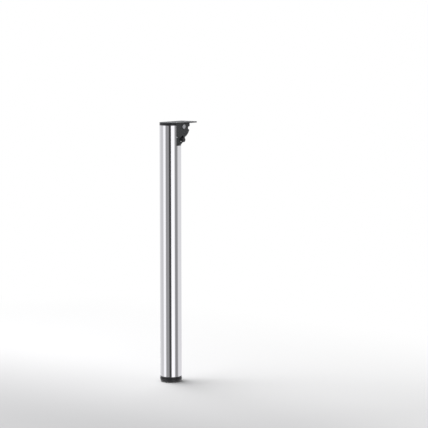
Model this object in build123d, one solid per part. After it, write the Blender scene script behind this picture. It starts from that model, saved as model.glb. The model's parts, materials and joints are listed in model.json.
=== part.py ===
"""Folding table leg, in millimetres.

The origin is on the mounting plate's top face, on the axis of the upright leg. +Z points up into
the tabletop, and the leg folds towards +X. The latch is drawn with its bar pressed out of the notch.
"""

from build123d import *

import math
import os

# Whole leg
overall_height = 730.0  # tabletop's underside to the floor, with the foot screwed right in
tube_radius = 30.0
tube_wall = 1.5

# Clearances
fixed_gap = 0.05  # round a piece that is pressed or screwed into another
running_gap = 0.05  # radial play of a pin that turns in its hole
side_play = 0.1  # sideways play of what turns against a face
seat_gap = 0.3  # between faces that come close without touching

# Mounting plate
plate_thickness = 3.0
plate_reach = 84.0
plate_corner_radius = 8.0
plate_edge_radius = 0.5
screw_hole_radius = 2.7
screw_head_radius = 4.6
screw_near_x = -10.0
screw_far_x = 73.0
screw_edge_margin = 10.0

# Fold pivot and the angles at which the leg locks
pivot_x = 26.0
pivot_drop = 12.0
pivot_pin_radius = 4.0
pivot_head_radius = 6.5
pivot_head_height = 2.2
pivot_head_round = 1.5
fold_angle = 90.0
upright_notch_angle = -100.0  # from +X towards +Z, about the pivot

# Hinge bracket
bracket_gauge = 3.0
bend_radius = 2.4  # outside the channel's two bends
bracket_near_x = 10.0
ear_radius = 32.0
ear_back_corner_radius = 5.0
notch_bar_reach = 30.0  # pivot to the bar's centre when it is locked
notch_play = 0.45

# Bracket rivets
rivet_radius = 2.5
rivet_head_radius = 4.5
rivet_head_height = 1.8
rivet_head_round = 1.1
rivet_row_half = 9.0
rivet_end_margin = 6.5

# Pivot bushes and retaining ring
bush_wall = 1.5
bush_flange_radius = 8.0
bush_flange_thickness = 1.0
ring_thickness = 1.0
ring_groove_depth = 0.8
ring_width = 2.6
ring_opening = 4.0
pin_end_length = 1.5
pin_end_chamfer = 0.4

# Hinge head
cheek_inset = 3.5  # the cheeks' outer faces inside the tube's width, each side
cheek_thickness = 4.0
lug_radius = 8.5
head_back_x = -8.0
head_back_thickness = 4.0
head_seat_drop = 64.0  # tabletop's underside to the tube's cut edge
head_roof = 4.0
spigot_length = 48.0
spigot_wall = 4.0
cheek_front_x = 31.0
cheek_front_drop = 47.0
cheek_foot_x = 17.0
cheek_corner_radius = 5.0

# Head screws, through the tube's fold side
head_screw_radius = 2.5
head_screw_head_radius = 4.75
head_screw_head_height = 2.0
head_screw_head_round = 1.4
head_screw_length = 14.0
head_screw_first = 14.0  # below the tube's cut edge
head_screw_spacing = 20.0
head_screw_socket_radius = 1.9
head_screw_socket_depth = 1.2
screw_boss_half_width = 6.5
screw_boss_reach = 14.0

# Top cap
cap_thickness = 4.5
cap_skirt_depth = 12.0
cap_skirt_wall = 2.0
cap_edge_radius = 1.0

# Latch
lever_pin_x = -2.5
lever_pin_drop = 41.0
lever_pin_radius = 2.5
lever_pin_chamfer = 0.5
lever_hub_radius = 5.5
lever_bar_hub_radius = 6.5
lever_thickness = 6.0
lever_side_gap = 0.8
lever_rail_width = 5.0
lever_floor = 3.0
bar_radius = 4.0
bar_chamfer = 0.8
bar_overhang = 4.5  # past the cheeks, each side
bar_release_gap = 1.0  # between the ears' rim and the pressed bar
slot_play = 0.3
grip_radius = 6.5
grip_wall = 3.0
grip_edge_radius = 2.0

# Latch spring
spring_coil_radius = 3.8
spring_wire_radius = 0.5
spring_turns = 5.0
spring_pocket_depth = 1.5
spring_nub_radius = 2.0
spring_nub_length = 2.5

# Foot plug
plug_flange = 5.0
plug_flange_edge_radius = 0.6
plug_length = 32.0
plug_sleeve_gap = 0.9
plug_sleeve_wall = 3.0
plug_column_radius = 13.0
plug_web_thickness = 3.0
plug_webs = 6
plug_crush_ribs = 12
crush_rib_radius = 1.2

# Foot nut and spindle
nut_across_flats = 17.0
nut_height = 8.0
nut_chamfer = 1.0
spindle_radius = 5.0
spindle_length = 63.0
spindle_collar_radius = 8.0
spindle_collar_height = 3.0
spindle_tip_chamfer = 1.0

# Foot pad and glide
foot_gap = 0.8
pad_overhang = 0.8  # past the tube all round
pad_height = 9.2
pad_lower_radius = 6.0
pad_upper_radius = 1.0
pad_roof = 4.2
glide_radius = 22.0
glide_thickness = 2.5
glide_proud = 1.0
glide_edge_radius = 0.6

# Heights worked out from the sizes above
plate_bottom = -plate_thickness
web_bottom = plate_bottom - bracket_gauge
pivot_z = -pivot_drop
cap_top = plate_bottom - seat_gap
tube_top = cap_top - cap_thickness
head_seat_z = -head_seat_drop
roof_top = head_seat_z + head_roof
spigot_bottom = head_seat_z - spigot_length
glide_bottom = -overall_height
pad_bottom = glide_bottom + glide_proud
pad_top = pad_bottom + pad_height
plug_flange_bottom = pad_top + foot_gap
tube_bottom = plug_flange_bottom + plug_flange
plug_top = tube_bottom + plug_length
collar_top = pad_top - pad_roof
spindle_bottom = collar_top - side_play - spindle_collar_height
spindle_top = spindle_bottom + spindle_length
glide_top = glide_bottom + glide_thickness

# Half widths across the hinge, from the outside in
screw_row_half = tube_radius - screw_edge_margin
cheek_span_half = tube_radius - cheek_inset
bar_end = cheek_span_half + bar_overhang
cheek_inner = cheek_span_half - cheek_thickness
ear_outer = cheek_inner - bush_flange_thickness - 2 * side_play
ear_inner = ear_outer - bracket_gauge
lever_half = ear_inner - lever_side_gap

# Radii
tube_bore = tube_radius - tube_wall
spigot_radius = tube_bore - fixed_gap
bush_bore = pivot_pin_radius + running_gap
bush_radius = bush_bore + bush_wall
bracket_far_x = pivot_x + ear_radius
pad_radius = tube_radius + pad_overhang

# Latch geometry about the fold pivot and the lever's own pin
lever_pin_z = -lever_pin_drop
notch_angles = (upright_notch_angle, upright_notch_angle + fold_angle)
locked_bar_x = pivot_x + notch_bar_reach * math.cos(math.radians(upright_notch_angle))
locked_bar_z = pivot_z + notch_bar_reach * math.sin(math.radians(upright_notch_angle))
lever_arm = math.hypot(locked_bar_x - lever_pin_x, locked_bar_z - lever_pin_z)
pin_distance = math.hypot(pivot_x - lever_pin_x, pivot_z - lever_pin_z)
pin_direction = math.degrees(math.atan2(pivot_z - lever_pin_z, pivot_x - lever_pin_x))
pressed_bar_reach = ear_radius + bar_radius + bar_release_gap


def arm_angle(bar_reach):
    """Angle of the lever's arm from +X with the bar's centre at this distance from the fold pivot."""
    cosine = (pin_distance**2 + lever_arm**2 - bar_reach**2) / (2 * pin_distance * lever_arm)
    return pin_direction - math.degrees(math.acos(cosine))


locked_angle = arm_angle(notch_bar_reach)
pressed_angle = arm_angle(pressed_bar_reach)
latch_travel = locked_angle - pressed_angle
pressed_bar_x = lever_pin_x + lever_arm * math.cos(math.radians(pressed_angle))
pressed_bar_z = lever_pin_z + lever_arm * math.sin(math.radians(pressed_angle))
spring_x = pressed_bar_x - lever_bar_hub_radius - side_play - spring_coil_radius - spring_wire_radius


def block(x_range, y_range, z_range):
    """Box between two corners, given as ranges along each axis."""
    size = [high - low for low, high in (x_range, y_range, z_range)]
    centre = [(high + low) / 2 for low, high in (x_range, y_range, z_range)]
    return Pos(*centre) * Box(*size)


def upright_disc(radius, z_low, z_high, x=0.0, y=0.0):
    """Cylinder along Z between two heights."""
    return Pos(x, y, (z_low + z_high) / 2) * Cylinder(radius, z_high - z_low)


def cross_rod(radius, y_low, y_high, x, z):
    """Cylinder along Y at a place in the XZ plane."""
    return Pos(x, (y_low + y_high) / 2, z) * Rot(90, 0, 0) * Cylinder(radius, y_high - y_low)


def side_plate(points, y_low, y_high):
    """Plate of an outline in the XZ plane, between two places along Y."""
    outline = Polyline(*[(x, y_low, z) for x, z in points], close=True)
    return extrude(make_face(outline), amount=y_high - y_low, dir=(0, 1, 0))


def both_sides(shape):
    """The shape and its mirror image across the XZ plane, as two solids."""
    return shape, mirror(shape, about=Plane.XZ)


def radial_slot(reach, half_width, angle, length, y_half):
    """Cutter with a round end, pointing outwards from the fold pivot at an angle."""
    end = cross_rod(half_width, -y_half, y_half, reach, 0)
    way_out = block((reach, reach + length), (-y_half, y_half), (-half_width, half_width))
    return Pos(pivot_x, 0, pivot_z) * Rot(0, -angle, 0) * (end + way_out)


def arc_slot(radius, half_width, start, end, y_half):
    """Cutter round the lever's pin with round ends, from one arm angle to another."""
    reach = 2 * radius
    corners = [(0, 0)]
    for angle in (start, end):
        turn = math.radians(angle)
        corners.append((reach * math.cos(turn), reach * math.sin(turn)))
    wedge = side_plate(corners, -y_half, y_half)
    band = cross_rod(radius + half_width, -y_half, y_half, 0, 0)
    band -= cross_rod(radius - half_width, -y_half, y_half, 0, 0)
    slot = band & wedge
    for angle in (start, end):
        turn = math.radians(angle)
        slot += cross_rod(half_width, -y_half, y_half, radius * math.cos(turn), radius * math.sin(turn))
    return Pos(lever_pin_x, 0, lever_pin_z) * slot


def rivet_places():
    """Places of the four rivets in the plate."""
    near = bracket_near_x + rivet_end_margin
    far = bracket_far_x - rivet_end_margin
    return [(x, side * rivet_row_half) for x in (near, far) for side in (-1, 1)]


def screw_places():
    """Places of the four screws into the tabletop."""
    return [(x, side * screw_row_half) for x in (screw_near_x, screw_far_x) for side in (-1, 1)]


def mounting_plate():
    """Flat plate, round at the leg's end, with countersunk holes from below and flush rivet seats."""
    outline = Circle(tube_radius) + Pos(plate_reach / 2, 0) * Rectangle(plate_reach, 2 * tube_radius)
    far_corners = outline.vertices().group_by(Axis.X)[-1]
    outline = fillet(far_corners, plate_corner_radius)
    plate = extrude(outline, amount=-plate_thickness)
    plate = fillet(plate.faces().sort_by(Axis.Z)[0].outer_wire().edges(), plate_edge_radius)
    sink = screw_head_radius - screw_hole_radius
    for x, y in screw_places():
        plate -= upright_disc(screw_hole_radius, -plate_thickness, 0, x, y)
        plate -= Pos(x, y, plate_bottom + sink / 2) * Cone(screw_head_radius, screw_hole_radius, sink)
    for x, y in rivet_places():
        plate -= rivet(x, y, fixed_gap)
    return plate


def rivet(x, y, gap=0.0):
    """Rivet with a flush cone on the plate's top and a low head under the bracket's web."""
    cone = rivet_head_radius - rivet_radius
    shank_bottom = web_bottom - rivet_head_height
    shape = upright_disc(rivet_radius + gap, shank_bottom, 0, x, y)
    shape += Pos(x, y, -cone / 2) * Cone(rivet_radius + gap, rivet_head_radius + gap, cone)
    if gap:
        return shape
    head = upright_disc(rivet_head_radius, shank_bottom, web_bottom, x, y)
    head = fillet(head.edges().sort_by(Axis.Z)[0], rivet_head_round)
    return shape + head


def bracket_rivets():
    """The four rivets."""
    return [rivet(x, y) for x, y in rivet_places()]


def hinge_bracket():
    """Pressed channel: a web under the plate, and two round ears with a notch for each locked angle."""
    web = block((bracket_near_x, bracket_far_x), (-ear_outer, ear_outer), (web_bottom, plate_bottom))
    ear_top = block((bracket_near_x, bracket_far_x), (-ear_outer, ear_outer), (pivot_z, plate_bottom))
    ear_round = cross_rod(ear_radius, -ear_outer, ear_outer, pivot_x, pivot_z)
    below = pivot_z - ear_radius
    ear_round &= block((bracket_near_x, bracket_far_x), (-ear_outer, ear_outer), (below, pivot_z))
    channel = web + ear_top + ear_round
    across = channel.edges().filter_by(Axis.Y)
    back_edges = across.filter_by_position(Axis.X, bracket_near_x - fixed_gap, bracket_near_x + fixed_gap)
    channel = fillet(back_edges.sort_by(Axis.Z)[0], ear_back_corner_radius)
    bends = channel.edges().filter_by(Axis.X).sort_by(Axis.Z)[-2:]
    channel = fillet(bends, bend_radius)
    channel -= block((bracket_near_x, bracket_far_x), (-ear_inner, ear_inner), (below, web_bottom))
    channel -= cross_rod(pivot_pin_radius + fixed_gap, -ear_outer, ear_outer, pivot_x, pivot_z)
    for angle in notch_angles:
        channel -= radial_slot(notch_bar_reach, bar_radius + notch_play, angle, ear_radius, ear_outer)
    for x, y in rivet_places():
        channel -= upright_disc(rivet_radius + fixed_gap, web_bottom, plate_bottom, x, y)
    return channel


def pivot_pin():
    """Axle with a domed head on the -Y side and a groove for its ring on the +Y side."""
    head_face = -cheek_span_half - side_play
    ring_face = cheek_span_half + side_play
    pin_end = ring_face + ring_thickness + side_play + pin_end_length
    pin = cross_rod(pivot_pin_radius, head_face, pin_end, pivot_x, pivot_z)
    pin = chamfer(pin.edges().sort_by(Axis.Y)[-1], pin_end_chamfer)
    head = cross_rod(pivot_head_radius, head_face - pivot_head_height, head_face, pivot_x, pivot_z)
    head = fillet(head.edges().sort_by(Axis.Y)[0], pivot_head_round)
    groove_end = ring_face + ring_thickness + side_play
    core = pivot_pin_radius - ring_groove_depth
    groove = cross_rod(pivot_head_radius, ring_face, groove_end, pivot_x, pivot_z)
    groove -= cross_rod(core, ring_face, groove_end, pivot_x, pivot_z)
    return pin + head - groove


def pivot_retaining_ring():
    """Spring ring in the pin's groove, open on one side."""
    inner = pivot_pin_radius - ring_groove_depth + fixed_gap
    low = cheek_span_half + side_play + side_play / 2
    high = low + ring_thickness
    ring = cross_rod(inner + ring_width, low, high, pivot_x, pivot_z)
    ring -= cross_rod(inner, low, high, pivot_x, pivot_z)
    opening_end = pivot_z - inner - ring_width
    half = ring_opening / 2
    return ring - block((pivot_x - half, pivot_x + half), (low, high), (opening_end, pivot_z))


def pivot_bushes():
    """Two flanged bushes, in the cheeks, with their flanges towards the ears."""
    flange_face = ear_outer + side_play
    bush = cross_rod(bush_radius, flange_face, cheek_span_half, pivot_x, pivot_z)
    bush += cross_rod(bush_flange_radius, flange_face, flange_face + bush_flange_thickness, pivot_x, pivot_z)
    bush -= cross_rod(bush_bore, flange_face, cheek_span_half, pivot_x, pivot_z)
    return both_sides(bush)


def head_screw_heights():
    """Heights of the two head screws."""
    first = head_seat_z - head_screw_first
    return [first, first - head_screw_spacing]


def fold_side_rod(radius, x_low, x_high, z):
    """Cylinder along X on the leg's centre plane."""
    return Pos((x_low + x_high) / 2, 0, z) * Rot(0, 90, 0) * Cylinder(radius, x_high - x_low)


def leg_tube():
    """Round tube, cut away on its fold side above the head's seat."""
    tube = upright_disc(tube_radius, tube_bottom, tube_top) - upright_disc(tube_bore, tube_bottom, tube_top)
    tube -= block((head_back_x, tube_radius), (-tube_radius, tube_radius), (head_seat_z, tube_top))
    for z in head_screw_heights():
        tube -= fold_side_rod(head_screw_radius + fixed_gap, 0, tube_radius, z)
    return tube


def cheek():
    """Side wall of the head, on the +Y side, with the lug round the pivot."""
    back = head_back_x - head_back_thickness
    shell_end = head_back_x + seat_gap
    cap_clear = tube_top - seat_gap
    lug_top = pivot_z + lug_radius
    outline = [
        (back, roof_top),
        (back, cap_clear),
        (shell_end, cap_clear),
        (shell_end, lug_top),
        (pivot_x, lug_top),
        (pivot_x + lug_radius, pivot_z),
        (cheek_front_x, -cheek_front_drop),
        (cheek_foot_x, roof_top),
    ]
    wall = side_plate(outline, cheek_inner, cheek_span_half)
    front_corner = wall.edges().filter_by(Axis.Y).sort_by_distance((cheek_front_x, 0, -cheek_front_drop))[0]
    wall = fillet(front_corner, cheek_corner_radius)
    return wall + cross_rod(lug_radius, cheek_inner, cheek_span_half, pivot_x, pivot_z)


def hinge_head():
    """Die-cast head: a spigot in the tube, a roof on its cut edge, a back wall and two cheeks."""
    shell_end = head_back_x + seat_gap
    spigot = upright_disc(spigot_radius, spigot_bottom, roof_top)
    spigot -= upright_disc(spigot_radius - spigot_wall, spigot_bottom, head_seat_z)
    roof = upright_disc(tube_radius, head_seat_z, roof_top)
    roof &= block((shell_end, tube_radius), (-tube_radius, tube_radius), (head_seat_z, roof_top))
    boss_low = min(head_screw_heights()) - screw_boss_half_width
    boss = upright_disc(spigot_radius, boss_low, head_seat_z)
    boss &= block(
        (spigot_radius - screw_boss_reach, spigot_radius),
        (-screw_boss_half_width, screw_boss_half_width),
        (boss_low, head_seat_z),
    )
    back = block(
        (head_back_x - head_back_thickness, head_back_x),
        (-cheek_span_half, cheek_span_half),
        (roof_top, tube_top - seat_gap),
    )
    upper = back
    for wall in both_sides(cheek()):
        upper += wall
    in_shell = block(
        (-2 * tube_radius, shell_end), (-2 * tube_radius, 2 * tube_radius), (roof_top, tube_top - seat_gap)
    )
    in_shell -= upright_disc(spigot_radius, roof_top, tube_top - seat_gap)
    head = spigot + roof + boss + (upper - in_shell)
    head -= cross_rod(bush_radius + fixed_gap, -cheek_span_half, cheek_span_half, pivot_x, pivot_z)
    head -= cross_rod(
        lever_pin_radius + fixed_gap, -cheek_span_half, cheek_span_half, lever_pin_x, lever_pin_z
    )
    head -= arc_slot(lever_arm, bar_radius + slot_play, pressed_angle, locked_angle, cheek_span_half)
    head -= upright_disc(
        spring_coil_radius + spring_wire_radius + seat_gap, roof_top - spring_pocket_depth, roof_top, spring_x
    )
    for z in head_screw_heights():
        hole_end = tube_radius - head_screw_length - seat_gap
        head -= fold_side_rod(head_screw_radius + fixed_gap, hole_end, tube_radius, z)
    return head


def top_cap():
    """Plastic cap on the part of the tube's top that reaches the plate, with a skirt inside the tube."""
    back = head_back_x - head_back_thickness
    cap = upright_disc(tube_radius, tube_top, cap_top)
    cap = fillet(cap.edges().sort_by(Axis.Z)[-1], cap_edge_radius)
    cap &= block((-tube_radius, head_back_x), (-tube_radius, tube_radius), (tube_top, cap_top))
    skirt_radius = tube_bore - fixed_gap
    skirt = upright_disc(skirt_radius, tube_top - cap_skirt_depth, tube_top)
    skirt -= upright_disc(skirt_radius - cap_skirt_wall, tube_top - cap_skirt_depth, tube_top)
    skirt &= block(
        (-tube_radius, back - seat_gap), (-tube_radius, tube_radius), (tube_top - cap_skirt_depth, tube_top)
    )
    return cap + skirt


def head_screws():
    """Two button-head screws with a hexagon socket."""
    screws = []
    for z in head_screw_heights():
        outside = tube_radius + head_screw_head_height
        screw = fold_side_rod(head_screw_radius, tube_radius - head_screw_length, tube_radius, z)
        head = fold_side_rod(head_screw_head_radius, tube_radius, outside, z)
        head = fillet(head.edges().sort_by(Axis.X)[-1], head_screw_head_round)
        socket_base = Plane(origin=(outside, 0, z), z_dir=(-1, 0, 0))
        socket = extrude(socket_base * RegularPolygon(head_screw_socket_radius, 6), head_screw_socket_depth)
        screws.append(screw + head - socket)
    return screws


def lever_pin():
    """Plain pin through both cheeks, with chamfered ends."""
    pin = cross_rod(lever_pin_radius, -cheek_span_half, cheek_span_half, lever_pin_x, lever_pin_z)
    ends = pin.edges().filter_by(GeomType.CIRCLE)
    return chamfer(ends, lever_pin_chamfer)


def release_lever():
    """Arm between the ears, from a hub on its pin to a hub that holds the lock bar."""
    half = lever_thickness / 2
    arm = block((0, lever_arm), (-lever_half, lever_half), (-half, half))
    pocket_end = lever_arm - lever_bar_hub_radius
    rail = lever_half - lever_rail_width
    arm -= block((lever_hub_radius, pocket_end), (-rail, rail), (-half + lever_floor, half))
    arm += cross_rod(lever_hub_radius, -lever_half, lever_half, 0, 0)
    arm += cross_rod(lever_bar_hub_radius, -lever_half, lever_half, lever_arm, 0)
    tilt = math.radians(pressed_angle)
    nub_middle = half + spring_nub_length / 2
    nub_x = (spring_x - lever_pin_x - nub_middle * math.sin(tilt)) / math.cos(tilt)
    arm += upright_disc(spring_nub_radius, -half - spring_nub_length, -half, nub_x)
    arm -= cross_rod(lever_pin_radius + running_gap, -lever_half, lever_half, 0, 0)
    arm -= cross_rod(bar_radius + fixed_gap, -lever_half, lever_half, lever_arm, 0)
    return Pos(lever_pin_x, 0, lever_pin_z) * Rot(0, -pressed_angle, 0) * arm


def lock_bar():
    """Round bar across the hinge, held in the lever and reaching out through the cheeks' slots."""
    bar = cross_rod(bar_radius, -bar_end, bar_end, pressed_bar_x, pressed_bar_z)
    return chamfer(bar.edges().filter_by(GeomType.CIRCLE), bar_chamfer)


def lock_bar_grips():
    """Two plastic grips pushed over the bar's ends."""
    inner = cheek_span_half + seat_gap
    outer = bar_end + grip_wall
    grip = cross_rod(grip_radius, inner, outer, pressed_bar_x, pressed_bar_z)
    grip = fillet(grip.edges().sort_by(Axis.Y)[-1], grip_edge_radius)
    grip -= cross_rod(bar_radius + fixed_gap, inner, bar_end + fixed_gap, pressed_bar_x, pressed_bar_z)
    return both_sides(grip)


def latch_spring():
    """Compression spring between the head's roof and the pressed lever."""
    slope = math.tan(math.radians(pressed_angle))
    coil_edge = spring_x + spring_coil_radius + spring_wire_radius
    lever_below = lever_thickness / 2 / math.cos(math.radians(pressed_angle))
    top = lever_pin_z + (coil_edge - lever_pin_x) * slope - lever_below - side_play
    bottom = roof_top - spring_pocket_depth
    height = top - bottom - 2 * spring_wire_radius
    start = (spring_x, 0, bottom + spring_wire_radius)
    path = Helix(pitch=height / spring_turns, height=height, radius=spring_coil_radius, center=start)
    section = Plane(origin=path @ 0, z_dir=path % 0) * Circle(spring_wire_radius)
    return sweep(section, path=path, is_frenet=True)


def foot_plug():
    """Plastic plug: a flange under the tube, a ribbed sleeve in it, and a column with the nut's pocket."""
    sleeve_radius = tube_bore - plug_sleeve_gap
    sleeve_bore = sleeve_radius - plug_sleeve_wall
    plug = upright_disc(tube_radius, plug_flange_bottom, tube_bottom)
    plug = fillet(plug.edges().sort_by(Axis.Z)[0], plug_flange_edge_radius)
    plug += upright_disc(sleeve_radius, tube_bottom, plug_top)
    plug -= upright_disc(sleeve_bore, tube_bottom, plug_top)
    plug += upright_disc(plug_column_radius, tube_bottom, plug_top)
    half_web = plug_web_thickness / 2
    for turn in range(plug_webs):
        web = block((0, sleeve_radius - plug_sleeve_wall / 2), (-half_web, half_web), (tube_bottom, plug_top))
        plug += Rot(0, 0, turn * 360 / plug_webs) * web
    rib_reach = tube_bore - fixed_gap - crush_rib_radius
    for turn in range(plug_crush_ribs):
        rib = upright_disc(crush_rib_radius, tube_bottom, plug_top, rib_reach)
        plug += Rot(0, 0, turn * 360 / plug_crush_ribs) * rib
    plug -= upright_disc(spindle_radius + seat_gap, plug_flange_bottom, plug_top)
    pocket = hexagon(nut_across_flats / 2 + fixed_gap, plug_top - nut_height - fixed_gap, plug_top)
    return plug - pocket


def hexagon_corner(half_flats):
    """Distance from a hexagon's centre to its corners."""
    return half_flats / math.cos(math.pi / 6)


def hexagon(half_flats, z_low, z_high):
    """Hexagonal prism on the leg's axis."""
    return Pos(0, 0, z_low) * extrude(RegularPolygon(hexagon_corner(half_flats), 6), z_high - z_low)


def foot_nut():
    """Hexagon nut in the plug's pocket, with chamfered corners and its thread's bore."""
    nut = hexagon(nut_across_flats / 2, plug_top - nut_height, plug_top)
    rounded = upright_disc(hexagon_corner(nut_across_flats / 2), plug_top - nut_height, plug_top)
    rounded = chamfer(rounded.edges().filter_by(GeomType.CIRCLE), nut_chamfer)
    return (nut & rounded) - upright_disc(spindle_radius + running_gap, plug_top - nut_height, plug_top)


def foot_spindle():
    """Spindle with the thread's outer size, and a round collar inside the pad."""
    rod = upright_disc(spindle_radius, spindle_bottom, spindle_top)
    rod = chamfer(rod.edges().sort_by(Axis.Z)[-1], spindle_tip_chamfer)
    return rod + upright_disc(spindle_collar_radius, spindle_bottom, spindle_bottom + spindle_collar_height)


def foot_pad():
    """Round pad a little wider than the tube, rounded below, with a hollow for the collar and glide."""
    pad = upright_disc(pad_radius, pad_bottom, pad_top)
    pad = fillet(pad.edges().sort_by(Axis.Z)[0], pad_lower_radius)
    pad = fillet(pad.edges().sort_by(Axis.Z)[-1], pad_upper_radius)
    pad -= upright_disc(spindle_radius + running_gap, collar_top, pad_top)
    pad -= upright_disc(spindle_collar_radius + running_gap, pad_bottom, collar_top)
    return pad - upright_disc(glide_radius + fixed_gap, pad_bottom, glide_top)


def foot_glide():
    """Rubber disc in the pad's hollow, standing proud of it."""
    glide = upright_disc(glide_radius, glide_bottom, glide_top)
    return fillet(glide.edges().sort_by(Axis.Z)[0], glide_edge_radius)


NODES = {
    "mounting_plate": mounting_plate,
    "hinge_bracket": hinge_bracket,
    "bracket_rivets": bracket_rivets,
    "pivot_pin": pivot_pin,
    "pivot_retaining_ring": pivot_retaining_ring,
    "pivot_bushes": pivot_bushes,
    "leg_tube": leg_tube,
    "hinge_head": hinge_head,
    "top_cap": top_cap,
    "head_screws": head_screws,
    "lever_pin": lever_pin,
    "release_lever": release_lever,
    "lock_bar": lock_bar,
    "lock_bar_grips": lock_bar_grips,
    "latch_spring": latch_spring,
    "foot_plug": foot_plug,
    "foot_nut": foot_nut,
    "foot_spindle": foot_spindle,
    "foot_pad": foot_pad,
    "foot_glide": foot_glide,
}

os.makedirs("parts", exist_ok=True)
for node, build in NODES.items():
    shape = build()
    if isinstance(shape, (list, tuple)):
        shape = Compound(children=[Part(piece.wrapped) for piece in shape])
    export_step(shape, f"parts/{node}.step")
print(f"latch travel {latch_travel:.4f} degrees")
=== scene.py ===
"""Looks of a folding table leg: a chrome tube on a dark folding hinge, with a black levelling foot.

Sizes are metres in the frame's own axes: the origin is on the mounting plate's top face, on the axis of
the upright leg, +Z points up and the leg folds towards +X.
"""

import json
import logging
import math
from collections.abc import Callable, Iterator
from contextlib import contextmanager
from dataclasses import dataclass
from enum import Enum
from itertools import pairwise

import bmesh
import bpy
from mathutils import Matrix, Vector


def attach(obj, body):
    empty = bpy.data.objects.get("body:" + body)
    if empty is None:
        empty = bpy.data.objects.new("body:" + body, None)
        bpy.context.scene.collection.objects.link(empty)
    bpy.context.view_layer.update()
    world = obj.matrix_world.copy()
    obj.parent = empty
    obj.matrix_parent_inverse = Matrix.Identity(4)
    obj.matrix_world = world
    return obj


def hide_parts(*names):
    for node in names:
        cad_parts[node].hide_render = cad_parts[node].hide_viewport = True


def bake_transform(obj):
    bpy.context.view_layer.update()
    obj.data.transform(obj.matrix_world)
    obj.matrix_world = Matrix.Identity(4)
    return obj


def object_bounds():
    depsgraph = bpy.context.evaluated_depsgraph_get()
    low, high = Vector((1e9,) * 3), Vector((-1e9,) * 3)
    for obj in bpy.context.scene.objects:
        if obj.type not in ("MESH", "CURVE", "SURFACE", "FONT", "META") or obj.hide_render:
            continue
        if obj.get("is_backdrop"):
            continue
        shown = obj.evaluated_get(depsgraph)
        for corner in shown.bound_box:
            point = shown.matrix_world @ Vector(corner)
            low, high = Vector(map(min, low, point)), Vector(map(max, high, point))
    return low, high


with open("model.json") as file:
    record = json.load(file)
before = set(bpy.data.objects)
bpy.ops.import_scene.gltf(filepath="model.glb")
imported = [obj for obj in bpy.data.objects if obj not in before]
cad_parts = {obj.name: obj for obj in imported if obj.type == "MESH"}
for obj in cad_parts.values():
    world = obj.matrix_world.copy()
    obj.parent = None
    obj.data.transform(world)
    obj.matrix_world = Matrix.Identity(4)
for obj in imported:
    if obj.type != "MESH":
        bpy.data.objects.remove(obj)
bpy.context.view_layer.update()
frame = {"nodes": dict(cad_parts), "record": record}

logging.basicConfig(level=logging.INFO, format="%(message)s")
LOG = logging.getLogger("folding_leg")

Colour = tuple[float, float, float]
Point = tuple[float, float, float]
Pair = tuple[float, float]
Profile = list[Pair]
Piece = bpy.types.Object
Socket = bpy.types.NodeSocket
PairTest = Callable[[Vector, Vector], bool]

MERGE = 1e-7  # points nearer than this are one
NEAR = 1e-5  # how exactly an edge is at a place where it is looked for
SLIVER = 1.2e-5  # edges shorter than this are left over from cuts
FIT = 0.00005  # room between a piece and the hole it sits in
FAR = 0.01  # how far a cutter stands out of what it cuts
WIDE = 0.05  # half of a cutter that is wider than the leg
ROUND_SEGMENTS = 64
FINE_SEGMENTS = 192
HEXAGON_CORNER = 1 / math.cos(math.pi / 6)  # of a hexagon whose flats are 1 from its middle
ORIGIN = (0.0, 0.0, 0.0)
WHITE = (1.0, 1.0, 1.0, 1.0)


@dataclass(frozen=True)
class Datum:
    """Places and sizes that more than one sub-assembly is built to."""

    pivot: Point = (0.026, 0.0, -0.012)
    lever_pin: Point = (-0.0025, 0.0, -0.041)
    lever_arm: float = 0.0232968
    spring_x: float = 0.0086783
    tube: float = 0.030
    tube_top: float = -0.0078
    tube_bottom: float = -0.714
    screw_heights: Pair = (-0.078, -0.098)
    screw_hole: float = 0.00255

    def screw_places(self) -> list[Point]:
        """Gives the shift of each of the head's screws."""
        return [(0.0, 0.0, height) for height in self.screw_heights]


DATUM = Datum()


class Slot(Enum):
    """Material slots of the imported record."""

    CHROME = "chrome"
    CAST = "dark_cast"
    ZINC = "zinc_steel"
    PLASTIC = "black_plastic"
    NYLON = "bush_plastic"
    RUBBER = "glide_rubber"


class Body(Enum):
    """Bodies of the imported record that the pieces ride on."""

    BRACKET = "mounting_bracket"
    LEG = "leg"
    LATCH = "latch"
    SPINDLE = "levelling_spindle"
    FOOT = "levelling_foot"


@dataclass(frozen=True)
class Between:
    """Place of a springy piece between two bodies, with its start on the first and its end on the second; the
    piece itself is left in place and put on neither body.
    """

    first: Body
    second: Body
    start: Point
    end: Point


class Streaks(Enum):
    """Direction of a surface's fine lines, as a stretch of the object's coordinates."""

    UPRIGHT = (1.0, 1.0, 0.01)
    NONE = (1.0, 1.0, 1.0)


class Join(Enum):
    """What one shape does to another."""

    CUT = "DIFFERENCE"
    ADD = "UNION"
    KEEP = "INTERSECT"


class Lay(Enum):
    """Turn that lays a shape made along Z on another axis."""

    UPRIGHT = (0.0, 0.0, 0.0)
    ACROSS = (-math.pi / 2, 0.0, 0.0)  # Z becomes Y
    OUTWARD = (0.0, math.pi / 2, 0.0)  # Z becomes X
    HEXAGON = (0.0, 0.0, math.pi / 6)  # the flats of an upright hexagon face Y


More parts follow.
